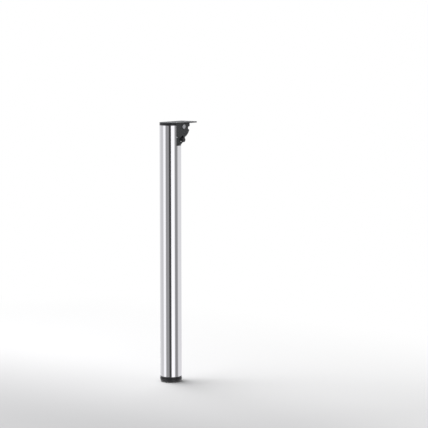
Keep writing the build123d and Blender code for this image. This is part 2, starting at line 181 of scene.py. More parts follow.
class NodeBuilder:
    """Adds nodes to a tree and joins them by socket."""

    def __init__(self, tree: bpy.types.NodeTree) -> None:
        """Keeps the tree that is filled."""
        self.tree = tree

    def add(self, kind: str, **values: object) -> bpy.types.Node:
        """Adds a node and sets what is given by name, as a property or else as an input.

        Args:
            kind: the node's type name.
            values: properties or inputs, with underscores for the spaces of an input's name.

        Returns:
            The new node.
        """
        node = self.tree.nodes.new(kind)
        for name, value in values.items():
            if hasattr(node, name):
                setattr(node, name, value)
            else:
                self.feed(value, node.inputs[name.replace("_", " ")])
        return node

    def feed(self, value: object, target: Socket) -> None:
        """Links a socket to an input, or sets the input to a value.

        Args:
            value: an output socket, or what the input is set to.
            target: an input socket.
        """
        if isinstance(value, Socket):
            self.tree.links.new(value, target)
        else:
            target.default_value = value

    def fed(self, node: bpy.types.Node, *values: object) -> Socket:
        """Feeds a node's inputs in their order, and returns its first output."""
        for target, value in zip(node.inputs, values):
            self.feed(value, target)
        return node.outputs[0]

    def math(self, operation: str, *terms: object) -> Socket:
        """Adds a Math node on sockets or numbers.

        Args:
            operation: the Math node's operation.
            terms: its inputs in order, each a socket or a number.

        Returns:
            The node's output socket.
        """
        return self.fed(self.add("ShaderNodeMath", operation=operation), *terms)

    def layer(self, share: Socket, under: bpy.types.Node, over: bpy.types.Node) -> bpy.types.Node:
        """Mixes two shaders.

        Args:
            share: how much of the second there is.
            under: the first shader.
            over: the second shader.

        Returns:
            The mix, as a shader.
        """
        node = self.add("ShaderNodeMixShader")
        self.fed(node, share, under.outputs[0], over.outputs[0])
        return node

    def tint(self, share: Socket, first: Colour, second: Colour) -> Socket:
        """Mixes two colours.

        Args:
            share: how much of the second there is.
            first: a colour.
            second: a colour.

        Returns:
            The mixed socket.
        """
        node = self.add("ShaderNodeMix", data_type="RGBA")
        self.feed(share, node.inputs[0])
        targets = [socket for socket in node.inputs if socket.type == "RGBA"]
        for target, colour in zip(targets, (first, second)):
            target.default_value = (*colour, 1.0)
        return next(socket for socket in node.outputs if socket.type == "RGBA")

    def blend(self, factor: object, first: object, second: object) -> Socket:
        """Mixes two numbers.

        Args:
            factor: how much of the second there is, a socket or a number.
            first: a socket or a number.
            second: a socket or a number.

        Returns:
            The mixed socket.
        """
        node = self.add("ShaderNodeMix", data_type="FLOAT")
        for name, value in (("Factor", factor), ("A", first), ("B", second)):
            self.feed(value, node.inputs[name])
        return node.outputs["Result"]

    def ramp(self, value: object, start: float, end: float, low: float, high: float) -> Socket:
        """Eases a value from one range into another.

        Args:
            value: a socket.
            start: where the ease starts.
            end: where it ends.
            low: the result at the start.
            high: the result at the end.

        Returns:
            The eased socket.
        """
        node = self.add(
            "ShaderNodeMapRange", interpolation_type="SMOOTHSTEP", Value=value, From_Min=start, From_Max=end,
            To_Min=low, To_Max=high,
        )
        return node.outputs["Result"]


def surface_grain() -> bpy.types.NodeTree:
    """Builds the shader group of fine grain, slow unevenness and rubbed marks that the finishes share.

    Returns:
        The group, with the outputs Grain, Cloud and Rub, all from 0 to 1.
    """
    name = "surface_grain"
    if name in bpy.data.node_groups:
        return bpy.data.node_groups[name]
    group = bpy.data.node_groups.new(name, "ShaderNodeTree")
    group.interface.new_socket("Vector", in_out="INPUT", socket_type="NodeSocketVector")
    for socket in ("Grain Scale", "Cloud Scale"):
        group.interface.new_socket(socket, in_out="INPUT", socket_type="NodeSocketFloat")
    for socket in ("Grain", "Cloud", "Rub"):
        group.interface.new_socket(socket, in_out="OUTPUT", socket_type="NodeSocketFloat")
    build = NodeBuilder(group)
    entry = build.add("NodeGroupInput")
    leave = build.add("NodeGroupOutput")
    grain = build.add("ShaderNodeTexNoise", Detail=3.0, Roughness=0.6)
    cloud = build.add("ShaderNodeTexNoise", Detail=2.0, Roughness=0.5)
    for noise, scale, result in ((grain, "Grain Scale", "Grain"), (cloud, "Cloud Scale", "Cloud")):
        build.feed(entry.outputs["Vector"], noise.inputs["Vector"])
        build.feed(entry.outputs[scale], noise.inputs["Scale"])
        build.feed(noise.outputs["Fac"], leave.inputs[result])
    rubbed = build.math("MULTIPLY", grain.outputs["Fac"], cloud.outputs["Fac"])
    build.feed(build.ramp(rubbed, 0.3, 0.42, 0.0, 1.0), leave.inputs["Rub"])
    return group


@dataclass(frozen=True)
class Finish:
    """A finish with grain, slow unevenness of tone, rubbed marks, and fine lines along one direction."""

    name: str
    slot: Slot
    colour: Colour
    cloud_colour: Colour
    metallic: float
    roughness: float
    roughness_spread: float
    grain_scale: float
    cloud_scale: float
    grain_height: float
    rub: float = 0.0
    streaks: Streaks = Streaks.NONE

    def material(self) -> bpy.types.Material:
        """Builds the material, or returns it if it has been built.

        Returns:
            The material.
        """
        if self.name in bpy.data.materials:
            return bpy.data.materials[self.name]
        made = bpy.data.materials.new(self.name)
        made.use_nodes = True
        build = NodeBuilder(made.node_tree)
        place = build.add("ShaderNodeTexCoord")
        stretch = build.add("ShaderNodeMapping", Vector=place.outputs["Object"], Scale=self.streaks.value)
        grain = build.add(
            "ShaderNodeGroup", node_tree=surface_grain(), Vector=stretch.outputs["Vector"],
            Grain_Scale=self.grain_scale, Cloud_Scale=self.cloud_scale,
        )
        grainy = build.math("MULTIPLY_ADD", grain.outputs["Grain"], self.roughness_spread, self.roughness)
        bump = build.add("ShaderNodeBump", Distance=self.grain_height, Height=grain.outputs["Grain"])
        shader = made.node_tree.nodes["Principled BSDF"]
        for name, value in (
            ("Base Color", build.tint(grain.outputs["Cloud"], self.colour, self.cloud_colour)),
            ("Metallic", self.metallic),
            ("Roughness", build.math("MULTIPLY_ADD", grain.outputs["Rub"], self.rub, grainy)),
            ("Normal", bump.outputs["Normal"]),
        ):
            build.feed(value, shader.inputs[name])
        return made


CHROME = Finish(
    name="polished_chrome", slot=Slot.CHROME, colour=(0.9, 0.9, 0.915), cloud_colour=(0.86, 0.86, 0.885),
    metallic=1.0, roughness=0.05, roughness_spread=0.05, grain_scale=2600.0, cloud_scale=60.0,
    grain_height=0.0000006, rub=0.02, streaks=Streaks.UPRIGHT,
)
CAST = Finish(
    name="dark_cast_paint", slot=Slot.CAST, colour=(0.027, 0.031, 0.034), cloud_colour=(0.037, 0.042, 0.045),
    metallic=0.0, roughness=0.34, roughness_spread=0.16, grain_scale=1400.0, cloud_scale=45.0,
    grain_height=0.00003, rub=-0.05,
)
ZINC = Finish(
    name="bright_zinc", slot=Slot.ZINC, colour=(0.47, 0.48, 0.49), cloud_colour=(0.38, 0.39, 0.41),
    metallic=1.0, roughness=0.26, roughness_spread=0.16, grain_scale=1500.0, cloud_scale=110.0,
    grain_height=0.000006, rub=0.06,
)
PLASTIC = Finish(
    name="black_moulded_plastic", slot=Slot.PLASTIC, colour=(0.018, 0.018, 0.021),
    cloud_colour=(0.026, 0.026, 0.03), metallic=0.0, roughness=0.24, roughness_spread=0.16,
    grain_scale=2200.0, cloud_scale=70.0, grain_height=0.000012, rub=0.05,
)
NYLON = Finish(
    name="natural_nylon", slot=Slot.NYLON, colour=(0.62, 0.6, 0.54), cloud_colour=(0.56, 0.54, 0.48),
    metallic=0.0, roughness=0.4, roughness_spread=0.1, grain_scale=1600.0, cloud_scale=200.0,
    grain_height=0.00001,
)
RUBBER = Finish(
    name="dark_rubber", slot=Slot.RUBBER, colour=(0.035, 0.035, 0.037), cloud_colour=(0.05, 0.05, 0.052),
    metallic=0.0, roughness=0.7, roughness_spread=0.2, grain_scale=1200.0, cloud_scale=90.0,
    grain_height=0.00003,
)
FINISHES = {finish.slot.value: finish for finish in (CHROME, CAST, ZINC, PLASTIC, NYLON, RUBBER)}


def select_only(piece: Piece) -> None:
    """Selects one object and makes it active."""
    bpy.ops.object.select_all(action="DESELECT")
    piece.select_set(True)
    bpy.context.view_layer.objects.active = piece


def settle(piece: Piece) -> Piece:
    """Puts an object's place, turn and scale into its mesh."""
    select_only(piece)
    bpy.ops.object.transform_apply(location=True, rotation=True, scale=True)
    return piece


def added(primitive: Callable[..., object], **settings: object) -> Piece:
    """Adds a primitive with nothing else selected, and settles it.

    Args:
        primitive: the operator.
        settings: its settings.

    Returns:
        The new object.
    """
    bpy.ops.object.select_all(action="DESELECT")
    primitive(**settings)
    return settle(bpy.context.object)


@contextmanager
def editing(piece: Piece, mode: str = "EDGE", first: str = "SELECT") -> Iterator[None]:
    """Opens a piece in edit mode, and closes it again.

    Args:
        piece: the mesh object.
        mode: VERT, EDGE or FACE selection.
        first: SELECT where all is selected at first, DESELECT where nothing is.
    """
    select_only(piece)
    bpy.ops.object.mode_set(mode="EDIT")
    bpy.ops.mesh.select_mode(type=mode)
    bpy.ops.mesh.select_all(action=first)
    yield
    bpy.ops.object.mode_set(mode="OBJECT")


def pick(piece: Piece, kind: str, wanted: PairTest) -> None:
    """Selects the edges or faces that pass a test, in edit mode.

    Args:
        piece: the mesh object.
        kind: "edges", tested by their two ends, or "faces", tested by their middle and normal.
        wanted: the test.
    """
    shape = bmesh.from_edit_mesh(piece.data)
    shape.normal_update()
    for part in getattr(shape, kind):
        if kind == "edges":
            pair = [end.co for end in part.verts]
        else:
            pair = [part.calc_center_median(), part.normal]
        part.select_set(wanted(*pair))
    bmesh.update_edit_mesh(piece.data)


def at(**places: float) -> PairTest:
    """Gives the test for edges whose two ends are at the places given by axis."""
    wanted = places.items()
    return lambda *ends: all(abs(getattr(end, axis) - where) < NEAR for end in ends for axis, where in wanted)


def mend(piece: Piece) -> Piece:
    """Merges doubled points and turns all faces outwards."""
    with editing(piece, "VERT"):
        bpy.ops.mesh.remove_doubles(threshold=MERGE)
        bpy.ops.mesh.normals_make_consistent(inside=False)
    return piece


def turned(profile: Profile, segments: int = ROUND_SEGMENTS, closed: bool = False) -> Piece:
    """Draws a circle out along Z from one radius and height to the next, as on a lathe.

    Args:
        profile: radius and height of each step. A closed profile ends where it starts.
        segments: sides of the circle.
        closed: True for a ring's section, False for a solid with flat ends.

    Returns:
        The turned solid.
    """
    radius, height = profile[0]
    fill = "NOTHING" if closed else "NGON"
    piece = added(
        bpy.ops.mesh.primitive_circle_add, vertices=segments, radius=radius, fill_type=fill,
        location=(0.0, 0.0, height),
    )
    with editing(piece, "EDGE" if closed else "FACE"):
        for (before, low), (after, high) in pairwise(profile):
            bpy.ops.mesh.extrude_region_move(TRANSFORM_OT_translate={"value": (0.0, 0.0, high - low)})
            growth = after / before
            bpy.ops.transform.resize(value=(growth, growth, 1.0), center_override=(0.0, 0.0, high))
    return mend(piece)


def rounding(radius: float, reach: float, height: float, start: float, end: float, steps: int = 6) -> Profile:
    """Gives the points of a round edge for a turned profile.

    Args:
        radius: of the rounding.
        reach: distance of its centre from the axis.
        height: of its centre.
        start: angle of its first point, in degrees from outwards towards up.
        end: angle of its last point.
        steps: how many parts it has.

    Returns:
        The points, both ends among them.
    """
    angles = [math.radians(start + (end - start) * step / steps) for step in range(steps + 1)]
    return [(reach + radius * math.cos(turn), height + radius * math.sin(turn)) for turn in angles]


def block(low: Point, high: Point) -> Piece:
    """Adds a cube and gives it the size and place of the box between two corners."""
    size = [top - bottom for bottom, top in zip(low, high)]
    middle = [(top + bottom) / 2 for bottom, top in zip(low, high)]
    return added(bpy.ops.mesh.primitive_cube_add, size=1.0, location=middle, scale=size)


def rod(
    radius: float, low: float, high: float, lay: Lay, place: Point = ORIGIN, segments: int = 48
) -> Piece:
    """Adds a plain cylinder between two places along its axis, for cutting and joining.

    Args:
        radius: of the cylinder.
        low: its first end along the axis.
        high: its second end.
        lay: which way it lies.
        place: a point on its axis, from which the ends are measured.
        segments: sides of its circle.

    Returns:
        The cylinder.
    """
    piece = added(
        bpy.ops.mesh.primitive_cylinder_add, vertices=segments, radius=radius, depth=high - low,
        location=(0.0, 0.0, (high + low) / 2),
    )
    return laid(piece, lay, place)


def laid(piece: Piece, lay: Lay | Point, place: Point = ORIGIN) -> Piece:
    """Turns a shape round the origin, and then moves it to its place.

    Args:
        piece: the shape.
        lay: which way it lies, or its turn round X, Y and Z.
        place: where its origin goes.

    Returns:
        The same object.
    """
    piece.rotation_euler = lay.value if isinstance(lay, Lay) else lay
    settle(piece)
    piece.location = place
    return settle(piece)


def modified(piece: Piece, kind: str, **settings: object) -> Piece:
    """Adds a modifier and applies it.

    Args:
        piece: the mesh object.
        kind: the modifier's type.
        settings: its settings.

    Returns:
        The same object.
    """
    select_only(piece)
    modifier = piece.modifiers.new(kind.lower(), kind)
    for name, value in settings.items():
        setattr(modifier, name, value)
    bpy.ops.object.modifier_apply(modifier=modifier.name)
    return piece


def combine(piece: Piece, way: Join, *others: Piece) -> Piece:
    """Cuts, adds or keeps other shapes, which are used up.

    Args:
        piece: the mesh object that is kept.
        way: what the others do to it.
        others: the other shapes.

    Returns:
        The same object.
    """
    for other in others:
        modified(piece, "BOOLEAN", operation=way.value, object=other, solver="EXACT")
        bpy.data.objects.remove(other)
    return piece


def copied(piece: Piece, shift: Point, side: int = 1) -> Piece:
    """Copies a piece with its own mesh.

    Args:
        piece: the mesh object.
        shift: how far the copy is moved.
        side: -1 where the copy is mirrored to the other side of the leg.

    Returns:
        The copy.
    """
    copy = piece.copy()
    copy.data = piece.data.copy()
    bpy.context.collection.objects.link(copy)
    copy.location = shift
    copy.scale = (1.0, side, 1.0)
    return settle(copy)


def drilled(piece: Piece, cutter: Piece, places: list[Point]) -> Piece:
    """Cuts a piece with a cutter at several places, and returns the piece. The cutter is used up."""
    combine(piece, Join.CUT, *[copied(cutter, place) for place in places])
    bpy.data.objects.remove(cutter)
    return piece


def joined(*pieces: Piece) -> Piece:
    """Makes one object of several that may overlap, and returns the first, which holds them all."""
    select_only(pieces[0])
    for piece in pieces:
        piece.select_set(True)
    bpy.ops.object.join()
    return pieces[0]


def wound(section: Piece, turns: float, rise: float, sides: int) -> Piece:
    """Winds an outline up round the Z axis.

    Args:
        section: the outline.
        turns: how often it goes round.
        rise: how far up it goes in all.
        sides: parts of one turn.

    Returns:
        The same object, open at both ends.
    """
    steps = int(sides * turns)
    return modified(
        section, "SCREW", angle=2 * math.pi * turns, screw_offset=rise, iterations=1, steps=steps,
        render_steps=steps, use_normal_calculate=True,
    )


def filled(piece: Piece) -> Piece:
    """Closes the open ends of a wound shape."""
    with editing(piece):
        bpy.ops.mesh.fill_holes(sides=0)
    return mend(piece)


def bisected(piece: Piece, point: Point, normal: Point) -> Piece:
    """Cuts off what lies on the normal's side of a plane, and closes the cut.

    Args:
        piece: the mesh object.
        point: a point of the plane.
        normal: points to the side that goes.

    Returns:
        The same object.
    """
    with editing(piece, "FACE"):
        bpy.ops.mesh.bisect(plane_co=point, plane_no=normal, use_fill=True, clear_outer=True, threshold=MERGE)
    return piece


def rounded(
    piece: Piece, wanted: PairTest, radius: float, segments: int = 8
) -> Piece:
    """Rounds the edges that pass a test.

    Args:
        piece: the mesh object.
        wanted: the test on an edge's two ends.
        radius: of the rounding.
        segments: of the rounding.

    Returns:
        The same object.
    """
    with editing(piece, "EDGE", "DESELECT"):
        pick(piece, "edges", wanted)
        bpy.ops.mesh.bevel(offset=radius, segments=segments, affect="EDGES", clamp_overlap=False)
    return mend(piece)


def softened(piece: Piece, width: float = 0.0, segments: int = 2, angle: float = 40.0) -> Piece:
    """Breaks all sharp edges by a small round, and shades the piece smooth between them.

    Args:
        piece: the mesh object.
        width: of the round, or 0 where the piece has its rounds already.
        segments: of the round.
        angle: how sharp an edge is, in degrees, for it to be rounded.

    Returns:
        The same object.
    """
    mend(piece)
    if width > 0:
        with editing(piece, "VERT"):
            bpy.ops.mesh.dissolve_limited(angle_limit=math.radians(0.2))
            bpy.ops.mesh.dissolve_degenerate(threshold=SLIVER)
            bpy.ops.mesh.remove_doubles(threshold=SLIVER)
        modified(
            piece, "BEVEL", width=width, segments=segments, limit_method="ANGLE",
            angle_limit=math.radians(angle),
        )
        mend(piece)
    return shaded(piece)


def shaded(piece: Piece) -> Piece:
    """Shades a piece smooth, with its flat and long faces kept true beside the small rounds."""
    select_only(piece)
    bpy.ops.object.shade_smooth_by_angle(angle=math.radians(32.0))
    return modified(piece, "WEIGHTED_NORMAL", keep_sharp=True)


def dress(piece: Piece, finish: Finish) -> None:
    """Gives a piece one finish."""
    piece.data.materials.clear()
    piece.data.materials.append(finish.material())


def deliver(
    piece: Piece, name: str, carrier: Body | Between, finish: Finish, *stands_for: str
) -> Piece:
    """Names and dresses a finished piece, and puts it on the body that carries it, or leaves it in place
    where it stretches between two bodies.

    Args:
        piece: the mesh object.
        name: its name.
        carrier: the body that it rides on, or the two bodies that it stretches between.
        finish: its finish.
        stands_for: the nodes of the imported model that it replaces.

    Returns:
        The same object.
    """
    piece.name = name
    piece.data.name = name
    dress(piece, finish)
    if isinstance(carrier, Between):
        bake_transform(piece)
    else:
        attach(piece, carrier.value)
    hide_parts(*stands_for)
    LOG.info("%s, %d faces", name, len(piece.data.polygons))
    return piece


def deliver_copies(
    first: Piece, places: list[Point], name: str, carrier: Body, finish: Finish, node: str
) -> None:
    """Copies a finished piece to its places, and delivers the copies in place of one node.

    Args:
        first: the mesh object, which is used up.
        places: how far each copy is moved.
        name: the copies' name, before their number.
        carrier: the body that they ride on.
        finish: their finish.
        node: the node that they replace.
    """
    for number, place in enumerate(places, 1):
        deliver(copied(first, place), f"{name}_{number}", carrier, finish, node)
    bpy.data.objects.remove(first)


def deliver_pair(left: Piece, name: str, carrier: Body, finish: Finish, node: str) -> None:
    """Mirrors a finished piece to the leg's other side, and delivers both in place of one node.

    Args:
        left: the mesh object.
        name: the pieces' name, before their side.
        carrier: the body that they ride on.
        finish: their finish.
        node: the node that they replace.
    """
    right = softened(copied(left, ORIGIN, -1))
    deliver(left, f"{name}_left", carrier, finish, node)
    deliver(right, f"{name}_right", carrier, finish, node)


@dataclass
class MountingBracket:
    """The flat plate under the tabletop, the pressed channel riveted to it, and the fold axle."""

    plate_thickness: float = 0.003
    plate_back: float = -0.030
    plate_front: float = 0.084
    plate_half: float = 0.030
    far_corner: float = 0.008
    screw_x: Pair = (-0.010, 0.073)
    screw_y: float = 0.020
    screw_hole: float = 0.0027
    screw_sink: float = 0.0046
    gauge: float = 0.003
    back_x: float = 0.010
    ear_outer: float = 0.0213
    ear_radius: float = 0.032
    ear_corner: float = 0.005
    bend: float = 0.0024
    inner_bend: float = 0.0008
    notch_reach: float = 0.030
    notch_half: float = 0.00445
    notch_angles: Pair = (-100.0, -10.0)
    rivet_x: Pair = (0.0165, 0.0515)
    rivet_y: float = 0.009
    rivet_radius: float = 0.0025
    rivet_head: float = 0.0045
    rivet_head_height: float = 0.0018
    rivet_round: float = 0.0011
    rivet_dimple: float = 0.0013
    axle_radius: float = 0.004
    axle_seat: float = 0.0266  # under its head, and the start of its groove
    axle_head: float = 0.0065
    axle_face: float = 0.0288
    axle_dome: float = 0.0015
    axle_dimple: float = 0.0021
    axle_chamfer: float = 0.0004
    groove: float = 0.0032
    groove_width: float = 0.0011
    ring_radius: float = 0.00585
    ring_opening: float = 0.002

    def rivet(self, gap: float = 0.0) -> Piece:
        """Turns a rivet on the Z axis, with a flush cone above and a low dimpled head below.

        Args:
            gap: how much wider it is made, for its hole.

        Returns:
            The rivet.
        """
        cone = self.rivet_head - self.rivet_radius
        web_bottom = -self.plate_thickness - self.gauge
        low = web_bottom - self.rivet_head_height
        shank = self.rivet_radius + gap
        profile = [(self.rivet_head + gap, 0.0), (shank, -cone)]
        if gap:
            return turned([*profile, (shank, low)], 32)
        profile += [(shank, web_bottom), (self.rivet_head, web_bottom)]
        edge = self.rivet_round
        profile += rounding(edge, self.rivet_head - edge, low + edge, 0.0, -90.0, 5)
        profile += [(self.rivet_dimple, low), (self.rivet_dimple - 0.0003, low + 0.0005)]
        return turned(profile, 48)

    def plate(self) -> None:
        """Makes the plate from a cube: round at the leg's end, with sunk holes from below."""
        half = self.plate_half
        bottom = -self.plate_thickness
        piece = block((self.plate_back, -half, bottom), (self.plate_front, half, 0.0))
        for x, corner, segments in ((self.plate_front, self.far_corner, 12), (self.plate_back, half, 48)):
            end = at(x=x)
            rounded(piece, lambda a, b: end(a, b) and abs(a.z - b.z) > NEAR, corner, segments)
        softened(piece, 0.0004, 3)
        sink = self.screw_sink - self.screw_hole
        profile = [(self.screw_sink + 0.001, bottom - 0.001), (self.screw_hole, bottom + sink)]
        drill = turned([*profile, (self.screw_hole, 0.001)], 48)
        drilled(piece, drill, [(x, y, 0.0) for x in self.screw_x for y in (-self.screw_y, self.screw_y)])
        drilled(piece, self.rivet(FIT), self.rivet_places())
        deliver(softened(piece), "pressed_plate", Body.BRACKET, CAST, "mounting_plate")

    def rivet_places(self) -> list[Point]:
        """Gives the shift of each of the four rivets."""
        return [(x, side * self.rivet_y, 0.0) for x in self.rivet_x for side in (-1, 1)]

    def rivets(self) -> None:
        """Makes one rivet and copies it to its four places."""
        first = softened(self.rivet())
        deliver_copies(first, self.rivet_places(), "plate_rivet", Body.BRACKET, ZINC, "bracket_rivets")

    def channel(self) -> None:
        """Makes the pressed channel from a cylinder: web above, two round ears with a notch each way."""
        x, _, z = DATUM.pivot
        top = -self.plate_thickness
        web_bottom = top - self.gauge
        half = self.ear_outer
        inner = half - self.gauge
        piece = rod(self.ear_radius, -half, half, Lay.ACROSS, DATUM.pivot, FINE_SEGMENTS)
        bisected(piece, (self.back_x, 0.0, 0.0), (-1.0, 0.0, 0.0))
        bisected(piece, DATUM.pivot, (0.0, 0.0, 1.0))
        with editing(piece, "FACE", "DESELECT"):
            pick(piece, "faces", lambda middle, normal: normal.z > 0.9)
            bpy.ops.mesh.extrude_region_move(TRANSFORM_OT_translate={"value": (0.0, 0.0, top - z)})
        mend(piece)
        low_corner = z - math.sqrt(self.ear_radius**2 - (x - self.back_x) ** 2)
        back, level = at(x=self.back_x), at(z=top)
        rounded(piece, lambda a, b: back(a, b) and max(a.z, b.z) < low_corner + 1e-4, self.ear_corner)
        rounded(piece, lambda a, b: level(a, b) and min(abs(a.y), abs(b.y)) > half - NEAR, self.bend, 6)
        hollow = block((-WIDE, -inner, -WIDE), (2 * WIDE, inner, web_bottom))
        under = at(z=web_bottom)
        rounded(hollow, lambda a, b: under(a, b) and abs(a.x - b.x) > NEAR, self.inner_bend, 3)
        combine(piece, Join.CUT, hollow)
        combine(piece, Join.CUT, rod(self.axle_radius + FIT, -WIDE, WIDE, Lay.ACROSS, DATUM.pivot))
        for angle in self.notch_angles:
            turn = math.radians(angle)
            root = (x + self.notch_reach * math.cos(turn), 0.0, z + self.notch_reach * math.sin(turn))
            slot = block((0.0, -WIDE, -self.notch_half), (2 * FAR, WIDE, self.notch_half))
            laid(slot, (0.0, -turn, 0.0), root)
            combine(slot, Join.ADD, rod(self.notch_half, -WIDE, WIDE, Lay.ACROSS, root))
            combine(piece, Join.CUT, slot)
        hole = rod(self.rivet_radius + FIT, -2 * FAR, 0.0, Lay.UPRIGHT, segments=32)
        drilled(piece, hole, self.rivet_places())
        deliver(softened(piece, 0.0003, 2), "pressed_channel", Body.BRACKET, CAST, "hinge_bracket")

    def axle(self) -> None:
        """Turns the fold axle, with a domed head, a ring groove and a chamfered end."""
        axle, seat, face, dome = self.axle_radius, self.axle_seat, self.axle_face, self.axle_dome
        dimple, dimple_top = self.axle_dimple, 0.0007 - face
        profile = [(dimple - 0.0013, dimple_top), (dimple - 0.0007, dimple_top), (dimple, -face)]
        profile += rounding(dome, self.axle_head - dome, dome - face, -90.0, 0.0)
        profile += [(self.axle_head, -seat), (axle, -seat), (axle, seat), (self.groove, seat)]
        profile += [(self.groove, seat + self.groove_width), (axle, seat + self.groove_width)]
        profile += [(axle, face), (axle - self.axle_chamfer, face + self.axle_chamfer)]
        piece = laid(turned(profile), Lay.ACROSS, DATUM.pivot)
        deliver(softened(piece, 0.00008, 1), "fold_axle", Body.BRACKET, ZINC, "pivot_pin")

    def ring(self) -> None:
        """Makes the spring ring in the axle's groove, with its opening below."""
        low, high = self.axle_seat + FIT, self.axle_seat + self.groove_width - FIT
        inner, outer = self.groove + FIT, self.ring_radius
        profile = [(inner, low), (outer, low), (outer, high), (inner, high), (inner, low)]
        piece = laid(turned(profile, 72, closed=True), Lay.ACROSS, DATUM.pivot)
        x, _, z = DATUM.pivot
        half = self.ring_opening
        combine(piece, Join.CUT, block((x - half, low - FAR, z - FAR), (x + half, high + FAR, z)))
        deliver(softened(piece, 0.00012, 2), "axle_ring", Body.BRACKET, ZINC, "pivot_retaining_ring")

    def build(self) -> None:
        """Makes the whole bracket."""
        self.plate()
        self.rivets()
        self.channel()
        self.axle()
        self.ring()


@dataclass
class ChromeTube:
    """The tube, cut away on the fold side at its top."""

    bore: float = 0.0285
    cut_x: float = -0.008
    cut_z: float = -0.064
    margin: float = 0.005  # from a hole to the next ring of edges

    def build(self) -> None:
        """Turns the tube, cuts its opening and its screw holes, and breaks the edges."""
        outside = [DATUM.tube_bottom, DATUM.tube_bottom + self.margin]
        for height in reversed(DATUM.screw_heights):
            outside += [height - self.margin, height + self.margin]
        outside += [self.cut_z - 0.002, self.cut_z + 0.002, DATUM.tube_top]
        profile = [(DATUM.tube, height) for height in outside]
        profile += [(self.bore, DATUM.tube_top), (self.bore, DATUM.tube_bottom), profile[0]]
        piece = turned(profile, FINE_SEGMENTS, closed=True)
        combine(piece, Join.CUT, block((self.cut_x, -WIDE, self.cut_z), (WIDE, WIDE, FAR)))
        drilled(piece, rod(DATUM.screw_hole, 0.0, WIDE, Lay.OUTWARD, segments=32), DATUM.screw_places())
        deliver(softened(piece, 0.00025, 2, 60.0), "polished_tube", Body.LEG, CHROME, "leg_tube")


